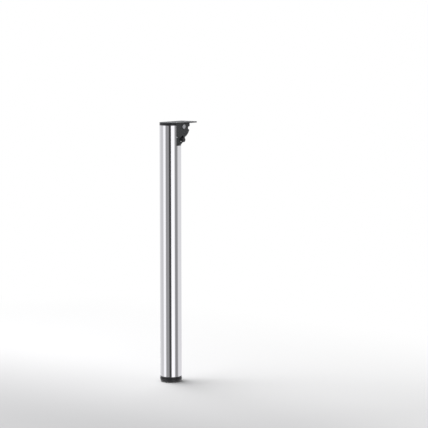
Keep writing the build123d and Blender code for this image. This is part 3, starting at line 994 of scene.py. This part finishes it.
@dataclass
class HingeHead:
    """The die-cast head in the tube's top, its plastic cap, its bushes and its two screws."""

    spigot: float = 0.02845
    spigot_bore: float = 0.02445
    spigot_bottom: float = -0.112
    seat: float = -0.064
    roof: float = -0.060
    shell_x: float = -0.0077
    back: Pair = (-0.012, -0.008)
    wall_top: float = -0.0081
    cheek_outer: float = 0.0265
    cheek_inner: float = 0.0225
    lug: float = 0.0085
    nose: Pair = (0.031, -0.047)
    nose_round: float = 0.005
    foot_x: float = 0.017
    bush_hole: float = 0.0056
    lever_pin_hole: float = 0.00255
    slot_half: float = 0.0043
    slot_angles: Pair = (-18.62, -1.34)
    spring_pocket: float = 0.0046
    spring_pocket_depth: float = 0.0015
    boss_x: float = 0.01445
    boss_half: float = 0.0065
    boss_bottom: float = -0.1045
    hole_end: float = 0.0157
    cap_top: float = -0.0033
    cap_round: float = 0.001
    skirt: float = 0.02845
    skirt_bore: float = 0.02645
    skirt_bottom: float = -0.0198
    skirt_x: float = -0.0123
    bush_bore: float = 0.00405
    bush: float = 0.00555
    flange: float = 0.008
    flange_ends: Pair = (0.0214, 0.0224)
    screw: float = 0.0025
    screw_end: float = 0.016
    screw_head: float = 0.00475
    screw_seat: float = 0.030
    screw_face: float = 0.032
    screw_round: float = 0.0014
    socket: float = 0.0019
    socket_depth: float = 0.0012

    def cheeks(self) -> Piece:
        """Makes both cheeks and the back wall from one cube, rounded over the fold axle and hollowed."""
        x, _, z = DATUM.pivot
        nose_x, nose_z = self.nose
        front = x + self.lug
        top = z + self.lug
        low = self.roof - 0.0001
        piece = block((self.back[0], -self.cheek_outer, low), (front, self.cheek_outer, top))
        rounded(piece, at(x=front, z=top), self.lug, 24)
        slope = Vector((front - nose_x, 0.0, z - nose_z))
        bisected(piece, (nose_x, 0.0, nose_z), (slope.z, 0.0, -slope.x))
        rise = Vector((nose_x - self.foot_x, 0.0, nose_z - self.roof))
        bisected(piece, (nose_x, 0.0, nose_z), (rise.z, 0.0, -rise.x))
        rounded(piece, at(x=nose_x, z=nose_z), self.nose_round)
        inner = self.cheek_inner
        room = block((self.back[1], -inner, low - FAR), (front + FAR, inner, top + FAR))
        step = block((-WIDE, -WIDE, self.wall_top), (self.shell_x, WIDE, FAR))
        return combine(piece, Join.CUT, room, step)

    def lever_slot(self) -> Piece:
        """Makes the cutter of the slot in which the lock bar swings, by spinning its cross-section."""
        x, _, z = DATUM.lever_pin
        first, last = (math.radians(angle) for angle in self.slot_angles)
        reach = DATUM.lever_arm
        piece = added(bpy.ops.mesh.primitive_plane_add, size=1.0)
        piece.scale = (2 * self.slot_half, 2 * WIDE, 1.0)
        laid(laid(piece, Lay.UPRIGHT, (reach, 0.0, 0.0)), (0.0, -first, 0.0))
        with editing(piece, "FACE"):
            bpy.ops.mesh.spin(steps=12, angle=last - first, center=ORIGIN, axis=(0.0, -1.0, 0.0), dupli=False)
        laid(mend(piece), Lay.UPRIGHT, DATUM.lever_pin)
        for angle in (first, last):
            end = (x + reach * math.cos(angle), 0.0, z + reach * math.sin(angle))
            combine(piece, Join.ADD, rod(self.slot_half, -WIDE, WIDE, Lay.ACROSS, end))
        return piece

    def casting(self) -> None:
        """Makes the casting: a spigot with a roof, a back wall and two cheeks, all in one."""
        bottom, seat = self.spigot_bottom, self.seat
        piece = rod(DATUM.tube, bottom, self.roof, Lay.UPRIGHT, segments=FINE_SEGMENTS)
        combine(piece, Join.ADD, self.cheeks())
        core = rod(self.spigot, bottom - FAR, 2 * FAR, Lay.UPRIGHT, segments=FINE_SEGMENTS)
        shell = block((-WIDE, -WIDE, seat - 0.001), (self.shell_x, WIDE, FAR))
        combine(shell, Join.ADD, block((-WIDE, -WIDE, bottom - FAR / 2), (WIDE, WIDE, seat)))
        combine(piece, Join.CUT, combine(shell, Join.CUT, core))
        bore = rod(self.spigot_bore, bottom - FAR, seat, Lay.UPRIGHT, segments=96)
        boss = block((self.boss_x, -self.boss_half, self.boss_bottom), (WIDE, self.boss_half, seat + FAR))
        pocket = (DATUM.spring_x, 0.0, self.roof)
        combine(
            piece, Join.CUT, combine(bore, Join.CUT, boss),
            rod(self.bush_hole, -WIDE, WIDE, Lay.ACROSS, DATUM.pivot),
            rod(self.lever_pin_hole, -WIDE, WIDE, Lay.ACROSS, DATUM.lever_pin, 32), self.lever_slot(),
            rod(self.spring_pocket, -self.spring_pocket_depth, FAR, Lay.UPRIGHT, pocket),
        )
        hole = rod(DATUM.screw_hole, self.hole_end, WIDE, Lay.OUTWARD, segments=32)
        drilled(piece, hole, DATUM.screw_places())
        deliver(softened(piece, 0.0004, 3), "cast_head", Body.LEG, CAST, "hinge_head")

    def cap(self) -> None:
        """Makes the cap on the tube's upper end: a flat flange with a soft rim, and a skirt in the tube."""
        tube_top, top, edge = DATUM.tube_top, self.cap_top, self.cap_round
        profile = [(DATUM.tube, tube_top), *rounding(edge, DATUM.tube - edge, top - edge, 0.0, 90.0)]
        piece = turned([*profile, (0.001, top)], FINE_SEGMENTS)
        bisected(piece, (self.back[1], 0.0, 0.0), (1.0, 0.0, 0.0))
        outer, inner, low, high = self.skirt, self.skirt_bore, self.skirt_bottom, tube_top + 0.001
        profile = [(outer, low), (outer, high), (inner, high), (inner, low), (outer, low)]
        skirt = turned(profile, 96, closed=True)
        bisected(skirt, (self.skirt_x, 0.0, 0.0), (1.0, 0.0, 0.0))
        combine(piece, Join.ADD, skirt)
        deliver(softened(piece, 0.0002, 2), "tube_cap", Body.LEG, PLASTIC, "top_cap")

    def bushes(self) -> None:
        """Turns the flanged bush of one cheek and mirrors it for the other."""
        bore, bush, flange, end = self.bush_bore, self.bush, self.flange, self.cheek_outer
        face, back = self.flange_ends
        profile = [(bore, face), (flange, face), (flange, back), (bush, back), (bush, end), (bore, end)]
        left = laid(turned([*profile, (bore, face)], closed=True), Lay.ACROSS, DATUM.pivot)
        deliver_pair(softened(left, 0.00015, 2), "axle_bush", Body.LEG, NYLON, "pivot_bushes")

    def screws(self) -> None:
        """Turns a button-head screw, cuts its hexagon socket and copies it below."""
        radius, end, seat, face, edge = (
            self.screw, self.screw_end, self.screw_seat, self.screw_face, self.screw_round
        )
        profile = [(radius - 0.0004, end), (radius, end + 0.0004), (radius, seat), (self.screw_head, seat)]
        profile += rounding(edge, self.screw_head - edge, face - edge, 0.0, 90.0)
        first = turned(profile, 48)
        depth = self.socket_depth
        combine(first, Join.CUT, rod(self.socket, face - depth, face + depth, Lay.UPRIGHT, segments=6))
        laid(softened(first, 0.0001, 2), Lay.OUTWARD)
        deliver_copies(first, DATUM.screw_places(), "head_screw", Body.LEG, ZINC, "head_screws")

    def build(self) -> None:
        """Makes the head and what is fixed to it."""
        self.casting()
        self.cap()
        self.bushes()
        self.screws()


@dataclass
class Latch:
    """The release lever on its pin, the lock bar with its two grips, and the spring under the lever."""

    pin_radius: float = 0.0025
    pin_half: float = 0.0265
    tilt: float = -18.6206  # of the pressed lever from level, degrees
    half: float = 0.0175
    thickness: float = 0.006
    hub: float = 0.0055
    bar_hub: float = 0.0065
    rail: float = 0.005
    bar_radius: float = 0.004
    bar_half: float = 0.031
    grip_radius: float = 0.0065
    grip_start: float = 0.0268
    grip_end: float = 0.034
    grip_round: float = 0.002
    grooves: tuple[float, float, float] = (0.0278, 0.0292, 0.0306)
    groove_depth: float = 0.00035
    pocket_gap: float = 0.0005  # from the lever's pocket to its hubs
    pocket_corner: float = 0.0012
    nub_radius: float = 0.002
    nub_length: float = 0.0025
    coil: float = 0.0038
    wire: float = 0.0005
    spring_low: float = -0.0615
    spring_high: float = -0.0496

    def bar_centre(self) -> Point:
        """Gives the pressed bar's place."""
        x, _, z = DATUM.lever_pin
        turn = math.radians(self.tilt)
        return (x + DATUM.lever_arm * math.cos(turn), 0.0, z + DATUM.lever_arm * math.sin(turn))

    def lever(self) -> None:
        """Makes the lever level, as a slab with two hubs, and tilts it round its pin."""
        half, thick, arm = self.half, self.thickness / 2, DATUM.lever_arm
        piece = block((0.0, -half, -thick), (arm, half, thick))
        low, high = self.hub + self.pocket_gap, arm - self.bar_hub - self.pocket_gap
        pocket = block((low, self.rail - half, 0.0), (high, half - self.rail, FAR))
        rounded(pocket, lambda a, b: abs(a.z - b.z) > NEAR, self.pocket_corner, 4)
        turn = math.radians(self.tilt)
        nub_middle = thick + self.nub_length / 2
        nub_x = (DATUM.spring_x - DATUM.lever_pin[0] - nub_middle * math.sin(turn)) / math.cos(turn)
        end = (arm, 0.0, 0.0)
        hubs = [
            rod(self.hub, -half, half, Lay.ACROSS, segments=64),
            rod(self.bar_hub, -half, half, Lay.ACROSS, end, 64),
        ]
        combine(piece, Join.ADD, *hubs)
        combine(piece, Join.CUT, pocket)
        nub = rod(self.nub_radius, -thick - self.nub_length, 0.0, Lay.UPRIGHT, (nub_x, 0.0, 0.0), 32)
        combine(piece, Join.ADD, nub)
        combine(
            piece, Join.CUT, rod(self.pin_radius + FIT, -WIDE, WIDE, Lay.ACROSS, segments=32),
            rod(self.bar_radius + FIT, -WIDE, WIDE, Lay.ACROSS, end),
        )
        softened(piece, 0.0003, 3)
        laid(piece, (0.0, -turn, 0.0), DATUM.lever_pin)
        deliver(piece, "latch_lever", Body.LATCH, CAST, "release_lever")

    def pins(self) -> None:
        """Turns the lever's pin and the lock bar, each with chamfered ends."""
        for name, body, radius, half, edge, place, node in (
            ("lever_axle", Body.LEG, self.pin_radius, self.pin_half, 0.0005, DATUM.lever_pin, "lever_pin"),
            ("latch_bar", Body.LATCH, self.bar_radius, self.bar_half, 0.0008, self.bar_centre(), "lock_bar"),
        ):
            profile = [(radius - edge, -half), (radius, edge - half)]
            profile += [(radius, half - edge), (radius - edge, half)]
            piece = laid(turned(profile), Lay.ACROSS, place)
            softened(piece, 0.0001, 2, 30.0)
            deliver(piece, name, body, ZINC, node)

    def grips(self) -> None:
        """Turns a blind grip with three finger grooves and mirrors it for the other side."""
        bore, outer = self.bar_radius + FIT, self.grip_radius
        low, bottom, end, edge = self.grip_start, self.bar_half + FIT, self.grip_end, self.grip_round
        profile = [(bore, bottom), (bore, low), (outer - 0.0003, low), (outer, low + 0.0003)]
        depth = self.groove_depth
        for groove in self.grooves:
            profile += [(outer, groove), (outer - depth, groove + depth), (outer, groove + 2 * depth)]
        profile += rounding(edge, outer - edge, end - edge, 0.0, 90.0)
        left = laid(turned([*profile, (0.001, end)]), Lay.ACROSS, self.bar_centre())
        deliver_pair(softened(left), "bar_grip", Body.LATCH, PLASTIC, "lock_bar_grips")

    def spring(self) -> None:
        """Winds the spring from a small circle, with a closed coil at each end, across lever and roof."""
        closed = 2.1 * self.wire
        low = self.spring_low + self.wire
        high = self.spring_high - self.wire
        coils = []
        for start, rise, turns in (
            (low, closed, 1.0), (low + closed, high - low - 2 * closed, 3.0), (high - closed, closed, 1.0),
        ):
            wire = added(
                bpy.ops.mesh.primitive_circle_add, vertices=12, radius=self.wire, fill_type="NOTHING",
                location=(self.coil, 0.0, start), rotation=(math.pi / 2, 0.0, 0.0),
            )
            coils.append(wound(wire, turns, rise, 32))
        piece = laid(filled(mend(joined(*coils))), Lay.UPRIGHT, (DATUM.spring_x, 0.0, 0.0))
        softened(piece)
        start, end = ((DATUM.spring_x, 0.0, height) for height in (low, high))
        deliver(piece, "lever_spring", Between(Body.LEG, Body.LATCH, start, end), ZINC, "latch_spring")

    def build(self) -> None:
        """Makes the whole latch."""
        self.lever()
        self.pins()
        self.grips()
        self.spring()


@dataclass
class LevellingFoot:
    """The black plug in the tube's end, its nut, the threaded spindle, and the turning pad on its glide."""

    flange_bottom: float = -0.719
    plug_top: float = -0.682
    sleeve: float = 0.0276
    sleeve_bore: float = 0.0246
    flange_round: float = 0.0006
    column: float = 0.013
    web: float = 0.0015  # half its thickness
    web_end: float = 0.026
    rib: float = 0.0012
    rib_reach: float = 0.02725
    bore: float = 0.0053
    nut_flats: float = 0.0085
    nut_height: float = 0.008
    nut_chamfer: float = 0.001
    thread: float = 0.005
    thread_root: float = 0.00415
    crest_half: float = 0.00012  # half the thread's thickness outside
    root_half: float = 0.00066  # half its thickness inside
    pitch: float = 0.0015
    spindle_top: float = -0.6641
    spindle_bottom: float = -0.7271
    collar: float = 0.008
    collar_height: float = 0.003
    pad: float = 0.0308
    pad_bottom: float = -0.729
    pad_top: float = -0.7198
    pad_round: float = 0.006
    pad_rim: float = 0.001
    collar_top: float = -0.724  # of the pad's hollow for the spindle's collar
    glide: float = 0.022
    glide_bottom: float = -0.730
    glide_top: float = -0.7275
    glide_round: float = 0.0006
    glide_rings: tuple[float, float, float] = (0.018, 0.013, 0.008)
    glide_groove: float = 0.0005

    def hexagon(self, room: float, low: float, high: float) -> Piece:
        """Makes a hexagonal prism on the leg's axis, wider than the nut by a room at each flat."""
        return rod((self.nut_flats + room) * HEXAGON_CORNER, low, high, Lay.HEXAGON, segments=6)

    def plug(self) -> None:
        """Makes the plug: a flange as wide as the tube, a ribbed sleeve, and a webbed column."""
        edge, low, seat, top = self.flange_round, self.flange_bottom, DATUM.tube_bottom, self.plug_top
        profile = [(self.bore, low), *rounding(edge, DATUM.tube - edge, low + edge, -90.0, 0.0, 4)]
        profile += [(DATUM.tube, seat - 0.0002), (DATUM.tube - 0.0002, seat)]
        profile += [(self.sleeve, seat), (self.sleeve, top - 0.001), (self.sleeve - 0.001, top)]
        profile += [(self.sleeve_bore, top), (self.sleeve_bore, seat)]
        profile += [(self.column, seat), (self.column, top)]
        piece = turned([*profile, (self.bore, top), (self.bore, low)], FINE_SEGMENTS, closed=True)
        for web in range(6):
            wall = block((self.column - 0.001, -self.web, seat - 0.001), (self.web_end, self.web, top))
            combine(piece, Join.ADD, laid(wall, (0.0, 0.0, math.radians(60.0 * web))))
        for rib in range(12):
            turn = math.radians(30.0 * rib)
            place = (self.rib_reach * math.cos(turn), self.rib_reach * math.sin(turn), 0.0)
            combine(piece, Join.ADD, rod(self.rib, seat - 0.001, top, Lay.UPRIGHT, place, 16))
        combine(piece, Join.CUT, self.hexagon(FIT, top - self.nut_height - FIT, top + FAR))
        deliver(softened(piece), "tube_plug", Body.LEG, PLASTIC, "foot_plug")

    def nut(self) -> None:
        """Makes the nut from a hexagonal prism, with turned-off corners and a bore."""
        low, high = self.plug_top - self.nut_height, self.plug_top
        piece = self.hexagon(0.0, low, high)
        corner, edge = self.nut_flats * HEXAGON_CORNER, self.nut_chamfer
        blank = [(corner - edge, low), (corner, low + edge), (corner, high - edge), (corner - edge, high)]
        combine(piece, Join.KEEP, turned(blank))
        combine(piece, Join.CUT, rod(self.thread + FIT, low - FAR, high + FAR, Lay.UPRIGHT))
        deliver(softened(piece, 0.0002, 2), "plug_nut", Body.LEG, ZINC, "foot_nut")

    def spindle(self) -> None:
        """Turns the spindle's core and collar, and winds a thread round it."""
        low = self.spindle_bottom + self.collar_height
        root = self.thread_root
        core = turned([
            (self.collar, self.spindle_bottom), (self.collar, low), (root + 0.0003, low),
            (root + 0.0003, low + 0.001), (root, low + 0.0015), (root, self.spindle_top - 0.0008),
            (root - 0.0008, self.spindle_top),
        ])
        softened(core, 0.0002, 2)
        turns = int((self.spindle_top - low - 0.004) / self.pitch)
        start = low + 0.0015
        ridge = added(
            bpy.ops.mesh.primitive_plane_add, size=0.001, rotation=(math.pi / 2, 0.0, 0.0),
            location=(self.thread, 0.0, start),
        )
        for corner in ridge.data.vertices:
            outer = corner.co.x > self.thread
            above = corner.co.z > start
            half = self.crest_half if outer else self.root_half
            corner.co.x = self.thread if outer else root - 0.0002
            corner.co.z = start + (half if above else -half)
        with editing(ridge, "FACE"):
            bpy.ops.mesh.delete(type="ONLY_FACE")
        shaded(joined(core, filled(wound(ridge, turns, self.pitch * turns, 24))))
        deliver(core, "threaded_spindle", Body.SPINDLE, ZINC, "foot_spindle")

    def turning_pad(self) -> None:
        """Turns the pad: soft upper rim, deep round below, hollow for the collar and the glide."""
        rim, low_round, collar_top = self.pad_rim, self.pad_round, self.collar_top
        bore, collar, seat = self.thread + FIT, self.collar + FIT, self.glide + FIT
        low, top = self.pad_bottom, self.pad_top
        profile = [(bore, top), *rounding(rim, self.pad - rim, top - rim, 90.0, 0.0)]
        profile += rounding(low_round, self.pad - low_round, low + low_round, 0.0, -90.0, 16)
        profile += [(seat, low), (seat, self.glide_top), (collar, self.glide_top), (collar, collar_top)]
        profile += [(bore, collar_top), (bore, top)]
        piece = turned(profile, FINE_SEGMENTS, closed=True)
        deliver(softened(piece), "turning_pad", Body.FOOT, PLASTIC, "foot_pad")

    def rubber_glide(self) -> None:
        """Turns the rubber disc, with three shallow rings under it."""
        low, top, edge, depth = self.glide_bottom, self.glide_top, self.glide_round, self.glide_groove
        profile = [(self.glide, top), *rounding(edge, self.glide - edge, low + edge, 0.0, -90.0, 4)]
        for ring in self.glide_rings:
            profile += [(ring, low), (ring - depth, low + depth)]
            profile += [(ring - 3 * depth, low + depth), (ring - 4 * depth, low)]
        piece = turned([*profile, (0.001, low)], 96)
        deliver(softened(piece), "rubber_glide", Body.FOOT, RUBBER, "foot_glide")

    def build(self) -> None:
        """Makes the whole foot."""
        self.plug()
        self.nut()
        self.spindle()
        self.turning_pad()
        self.rubber_glide()


@dataclass(frozen=True)
class StudioBand:
    """One soft box or dark flag, as a polished upright surface shows it."""

    role: str
    direction: float  # degrees from the camera's side, positive to its right
    half_width: float  # degrees
    softness: float  # degrees
    level: float


@dataclass(frozen=True)
class StudioShelf:
    """One soft box or flag above or below the object, at the same height all round."""

    role: str
    slope: float  # of its middle, 1 straight up and -1 straight down
    half_height: float
    softness: float
    level: float
    share: float = 1.0  # of what lies behind it that it hides


@dataclass
class Studio:
    """Floor, world, lamps and camera."""

    azimuth: float = -49.0  # of the camera, degrees
    focal_px: float = 1612.0
    frame_px: float = 428.0
    sensor: float = 36.0
    distance: float = 4.473  # camera to the leg's axis along the floor
    height: float = 0.262  # camera above the plate's top face
    horizon_row: float = 27.2
    leg_column: float = 170.3
    surround: float = 0.78
    bands: tuple[StudioBand, ...] = (
        StudioBand("grey sweep at the left", -104.0, 12.0, 16.0, 0.66),
        StudioBand("soft box at the left", -66.0, 10.0, 12.0, 1.08),
        StudioBand("grey flag at the left", -34.0, 15.0, 8.0, 0.33),
        StudioBand("soft box at the right", 24.0, 17.0, 8.0, 1.14),
        StudioBand("grey flag at the right", 64.0, 10.0, 16.0, 0.28),
        StudioBand("dark flag beside the camera", -5.0, 10.5, 3.0, 0.06),
    )
    tint: Colour = (0.985, 0.98, 1.0)
    shelves: tuple[StudioShelf, ...] = (
        StudioShelf("pale strip above the flags", 0.24, 0.07, 0.03, 1.0),
        StudioShelf("dark flag above", 0.385, 0.045, 0.03, 0.05),
        StudioShelf("grey sweep above", 0.55, 0.09, 0.04, 0.36),
        StudioShelf("soft box overhead", 0.9, 0.22, 0.05, 1.0),
        StudioShelf("lit floor", -0.42, 0.09, 0.05, 0.95),
        StudioShelf("floor in the object's shadow", -0.8, 0.24, 0.05, 0.34, 0.6),
    )
    ambient: float = 0.28
    lamp_aim: float = -0.4  # height on the leg's axis that the lamps point at
    floor_gap: float = 0.0002  # from the foot to the floor
    # Painted shade on the floor: its colour falls from the far tone to the darker near tone towards the
    # camera.
    floor_far: Colour = (0.8, 0.8, 0.805)
    floor_near_painted_shade: Colour = (0.57, 0.57, 0.577)
    painted_shade_fade: Pair = (-0.25, 0.75)  # towards the camera from the leg, far tone to the darker near tone of painted shade
    white: Pair = (-1.4, 0.1)  # all white behind the leg, to none
    painted_shade_skew: float = 0.85  # how much sooner the painted shade darkens the floor at the left than at the right
    white_round: Pair = (0.9, 1.7)  # distance from the leg, no white to all white

    def back(self) -> Vector:
        """Returns the level direction from the leg to the camera."""
        turn = math.radians(self.azimuth)
        return Vector((math.sin(turn), -math.cos(turn), 0.0))

    def right(self) -> Vector:
        """Returns the level direction to the camera's right."""
        back = self.back()
        return Vector((-back.y, back.x, 0.0))

    def aimed(self, name: str, data: bpy.types.ID, place: Vector, look: Vector) -> Piece:
        """Adds a camera or a lamp.

        Args:
            name: its name.
            data: its settings.
            place: where it is.
            look: the direction that it points in.

        Returns:
            The new object.
        """
        made = bpy.data.objects.new(name, data)
        bpy.context.collection.objects.link(made)
        made.location = place
        made.rotation_mode = "QUATERNION"
        made.rotation_quaternion = look.to_track_quat("-Z", "Y")
        return made

    def camera(self) -> None:
        """Places the camera so that the leg stands where the photograph has it."""
        data = bpy.data.cameras.new("camera")
        data.sensor_width = self.sensor
        data.lens = self.focal_px * self.sensor / self.frame_px
        data.clip_start = 0.05
        data.clip_end = 200.0
        back = self.back()
        middle = self.frame_px / 2
        pitch = math.atan((middle - self.horizon_row) / self.focal_px)
        yaw = math.asin((middle - self.leg_column) / self.focal_px)
        look = -back * math.cos(yaw) + self.right() * math.sin(yaw)
        look = look * math.cos(pitch) - Vector((0.0, 0.0, math.sin(pitch)))
        place = back * self.distance + Vector((0.0, 0.0, self.height))
        bpy.context.scene.camera = self.aimed("camera", data, place, look)

    def world(self) -> None:
        """Builds a pale world, which polished metal sees as soft boxes and flags round the object."""
        world = bpy.data.worlds.new("studio")
        bpy.context.scene.world = world
        world.use_nodes = True
        world.node_tree.nodes.clear()
        build = NodeBuilder(world.node_tree)
        place = build.add("ShaderNodeTexCoord")
        parts = build.add("ShaderNodeSeparateXYZ", Vector=place.outputs["Generated"])
        heading = build.math("ARCTAN2", parts.outputs["Y"], parts.outputs["X"])
        back = self.back()
        from_camera = build.math("SUBTRACT", heading, math.atan2(back.y, back.x))
        level: object = self.surround
        for band in self.bands:
            offset = build.math("SUBTRACT", from_camera, math.radians(band.direction))
            away = build.math("ABSOLUTE", build.math("WRAP", offset, math.pi, -math.pi))
            edge = band.half_width + band.softness
            shade = build.ramp(away, math.radians(band.half_width), math.radians(edge), 1.0, 0.0)
            level = build.blend(shade, level, band.level)
        for shelf in self.shelves:
            away = build.math("ABSOLUTE", build.math("SUBTRACT", parts.outputs["Z"], shelf.slope))
            shade = build.ramp(away, shelf.half_height, shelf.half_height + shelf.softness, shelf.share, 0.0)
            level = build.blend(shade, level, shelf.level)
        polished = build.add("ShaderNodeBackground", Color=(*self.tint, 1.0), Strength=level)
        plain = build.add("ShaderNodeBackground", Color=WHITE, Strength=self.ambient)
        backdrop = build.add("ShaderNodeBackground", Color=WHITE, Strength=1.0)
        ray = build.add("ShaderNodeLightPath")
        glossy = build.layer(ray.outputs["Is Glossy Ray"], plain, polished)
        seen = build.layer(ray.outputs["Is Camera Ray"], glossy, backdrop)
        build.add("ShaderNodeOutputWorld", Surface=seen.outputs[0])

    def floor(self) -> None:
        """Lays a pale floor under the foot, white behind the leg, that keeps the object's shadow, with
        painted shade that darkens its colour towards the camera, sooner at the left.
        """
        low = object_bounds()[0].z
        floor = added(bpy.ops.mesh.primitive_plane_add, size=60.0, location=(0.0, 0.0, low - self.floor_gap))
        floor.name = "floor"
        floor.visible_glossy = False
        floor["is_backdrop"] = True
        made = bpy.data.materials.new("pale_floor")
        made.use_nodes = True
        made.node_tree.nodes.clear()
        build = NodeBuilder(made.node_tree)
        place = build.add("ShaderNodeTexCoord")
        towards = build.add("ShaderNodeVectorMath", operation="DOT_PRODUCT", Vector=place.outputs["Object"])
        towards.inputs[1].default_value = self.back() - self.right() * self.painted_shade_skew
        behind = build.ramp(towards.outputs["Value"], *self.white, 1.0, 0.0)
        away = build.add("ShaderNodeVectorMath", operation="LENGTH", Vector=place.outputs["Object"])
        white = build.math("MAXIMUM", behind, build.ramp(away.outputs["Value"], *self.white_round, 0.0, 1.0))
        ray = build.add("ShaderNodeLightPath")
        share = build.math("MULTIPLY", white, ray.outputs["Is Camera Ray"])
        # Painted shade: the floor's colour darkens from the far tone to the near tone towards the camera,
        # sooner at the left.
        near = build.ramp(towards.outputs["Value"], *self.painted_shade_fade, 0.0, 1.0)
        matt = build.add("ShaderNodeBsdfDiffuse", Color=build.tint(near, self.floor_far, self.floor_near_painted_shade))
        glow = build.add("ShaderNodeEmission", Color=WHITE, Strength=1.0)
        build.add("ShaderNodeOutputMaterial", Surface=build.layer(share, matt, glow).outputs[0])
        floor.data.materials.append(made)

    def lamp(self, name: str, place: Vector, size: float, power: float) -> None:
        """Adds a square soft lamp that points at the leg's middle.

        Args:
            name: the lamp's name.
            place: where it hangs.
            size: its side.
            power: its power in watts.
        """
        data = bpy.data.lights.new(name, "AREA")
        data.size = size
        data.energy = power
        lamp = self.aimed(name, data, place, Vector((0.0, 0.0, self.lamp_aim)) - place)
        lamp.visible_glossy = False

    def build(self) -> None:
        """Builds the whole studio."""
        bpy.context.scene.view_settings.view_transform = "Standard"
        self.camera()
        self.world()
        self.floor()
        back, right, up = self.back(), self.right(), Vector((0.0, 0.0, 1.0))
        self.lamp("key_lamp", up * 2.0 - right * 0.85 - back * 0.55, 1.9, 88.0)
        self.lamp("fill_lamp", up * 2.2 + right * 1.1 + back * 0.25, 1.0, 4.0)
        LOG.info("studio: camera, world, floor and 2 lamps")


def dress_carried_nodes() -> None:
    """Gives each node that no new piece replaces the finish of its slot."""
    for row in frame["record"]["subparts"]:
        node = frame["nodes"][row["node"]]
        if not node.hide_render:
            dress(node, FINISHES[row["material_slot"]])
            LOG.info("%s is shown as packed", row["node"])


def main() -> None:
    """Builds the leg's pieces and the studio."""
    MountingBracket().build()
    ChromeTube().build()
    HingeHead().build()
    Latch().build()
    LevellingFoot().build()
    dress_carried_nodes()
    Studio().build()


if __name__ == "__main__":
    main()
